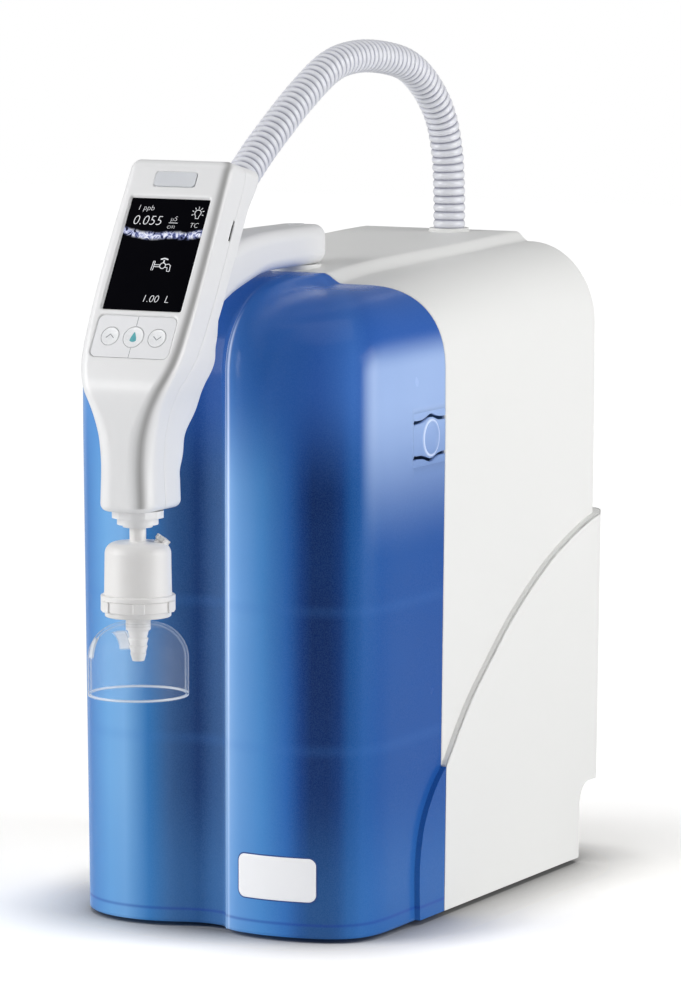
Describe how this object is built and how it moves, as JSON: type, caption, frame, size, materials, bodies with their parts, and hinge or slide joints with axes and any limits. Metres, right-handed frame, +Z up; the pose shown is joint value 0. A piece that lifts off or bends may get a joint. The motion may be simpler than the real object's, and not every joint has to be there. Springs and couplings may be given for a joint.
{
  "type": "ultrapure water system",
  "caption": "Benchtop ultrapure water unit: boxy body with a translucent front cover, a swivelling arm and a display handpiece with filter capsule and bell.",
  "frame": {"origin": "under the middle of the whole object, on the surface it stands on", "axes": "+Z up, -Y towards the front where the display faces, +X to the right of someone facing the front is -X; X runs across the body"},
  "size_m": [0.2298, 0.458, 0.5437],
  "materials": {
    "white_texture": "fine-textured light grey white",
    "grey_plastic": "satin",
    "foot_rubber": "matt",
    "inner_metal": "satin",
    "blue_cover": "translucent satin blue",
    "badge_white": "gloss",
    "arm_white": "satin white",
    "steel": "brushed",
    "grip_white": "warm white, half gloss",
    "display_glass": "black glass with a lit readout",
    "dark_plastic": "satin",
    "board_green": "solder resist",
    "keypad_white": "satin",
    "natural_plastic": "natural",
    "capsule_white": "natural white",
    "bell_clear": "clear",
    "hose_white": "satin white",
    "cartridge_blue": "satin"
  },
  "bodies": {
    "housing": {"rear_housing": "white_texture", "rear_panel": "grey_plastic", "base_plate": "grey_plastic", "feet": "foot_rubber", "bulkhead": "inner_metal", "turret": "arm_white", "swivel_pin": "steel", "hose_gland": "grip_white", "hose_lower": "hose_white", "purification_cartridge": "cartridge_blue", "cartridge_head": "dark_plastic", "cartridge_clip": "grey_plastic", "ultrafilter": "natural_plastic", "pump_head": "dark_plastic", "pump_motor": "inner_metal", "uv_reactor": "steel", "uv_end_caps": "dark_plastic", "solenoid_valve": "dark_plastic", "pressure_regulator": "steel", "conductivity_cell": "dark_plastic", "control_board": "board_green", "power_supply": "inner_metal", "inner_tubing": "natural_plastic", "feed_inlet": "natural_plastic", "drain_outlet": "grey_plastic", "mains_inlet": "dark_plastic", "panel_screws": "steel", "base_screws": "steel"},
    "cover": {"front_cover": "blue_cover", "cover_badge": "badge_white"},
    "right_latch": {"latch_right": "blue_cover"},
    "left_latch": {"latch_left": "blue_cover"},
    "arm": {"support_arm": "arm_white", "swivel_bush": "grey_plastic", "arm_cap": "grey_plastic", "arm_hanger": "steel"},
    "handpiece": {"handpiece_front": "grip_white", "handpiece_back": "grip_white", "display_window": "display_glass", "display_module": "dark_plastic", "handpiece_board": "board_green", "keypad_panel": "keypad_white", "handpiece_badge": "badge_white", "service_port": "dark_plastic", "handpiece_gland": "grip_white", "outlet_tube": "natural_plastic", "hose_upper": "hose_white", "capsule_top": "capsule_white", "capsule_base": "capsule_white", "filter_membrane": "natural_plastic"},
    "up_key": {"up_button": "keypad_white"},
    "dispense_key": {"dispense_button": "keypad_white"},
    "down_key": {"down_button": "keypad_white"},
    "collar": {"bayonet_collar": "grip_white"},
    "vent": {"vent_screw": "capsule_white"},
    "bell": {"filling_bell": "bell_clear"},
    "pump_rotor": {"pump_shaft": "steel"},
    "switch": {"rocker_switch": "dark_plastic"}
  },
  "joints": [
    {"name": "cover_slide", "type": "slide", "parent": "housing", "child": "cover", "axis": [0, -1, 0], "range_m": [0, 0.03]},
    {"name": "right_latch_flex", "type": "hinge", "parent": "cover", "child": "right_latch", "pos_m": [0.11075, -0.052, 0.304], "axis": [0, 0, 1], "range_deg": [0, 4], "stiffness_Nm_per_rad": 1.5},
    {"name": "left_latch_flex", "type": "hinge", "parent": "cover", "child": "left_latch", "pos_m": [-0.11075, -0.052, 0.304], "axis": [0, 0, 1], "range_deg": [-4, 0], "stiffness_Nm_per_rad": 1.5},
    {"name": "arm_swivel", "type": "hinge", "parent": "housing", "child": "arm", "pos_m": [0, 0.009, 0.413], "axis": [0, 0, 1], "range_deg": [-60, 60]},
    {"name": "handpiece_lift", "type": "slide", "parent": "arm", "child": "handpiece", "axis": [0, 0, 1], "range_m": [0, 0.012]},
    {"name": "up_press", "type": "slide", "parent": "handpiece", "child": "up_key", "axis": [0, 0.8616, -0.5075], "range_m": [0, 0.0012], "stiffness_N_per_m": 1200},
    {"name": "dispense_press", "type": "slide", "parent": "handpiece", "child": "dispense_key", "axis": [0, 0.8616, -0.5075], "range_m": [0, 0.0012], "stiffness_N_per_m": 1200},
    {"name": "down_press", "type": "slide", "parent": "handpiece", "child": "down_key", "axis": [0, 0.8616, -0.5075], "range_m": [0, 0.0012], "stiffness_N_per_m": 1200},
    {"name": "collar_turn", "type": "hinge", "parent": "handpiece", "child": "collar", "pos_m": [0, -0.1985, 0.268], "axis": [0, 0, 1], "range_deg": [0, 60]},
    {"name": "vent_turn", "type": "hinge", "parent": "handpiece", "child": "vent", "pos_m": [0.01057, -0.1924, 0.2499], "axis": [0.4967, 0.2868, 0.8192], "range_deg": [0, 180]},
    {"name": "bell_pull", "type": "slide", "parent": "handpiece", "child": "bell", "axis": [0, 0, -1], "range_m": [0, 0.04]},
    {"name": "pump_spin", "type": "hinge", "parent": "housing", "child": "pump_rotor", "pos_m": [-0.053, -0.059, 0.053], "axis": [0, 0, 1], "continuous": true},
    {"name": "switch_rock", "type": "hinge", "parent": "housing", "child": "switch", "pos_m": [-0.052, 0.2246, 0.137], "axis": [1, 0, 0], "range_deg": [-12, 0]}
  ]
}
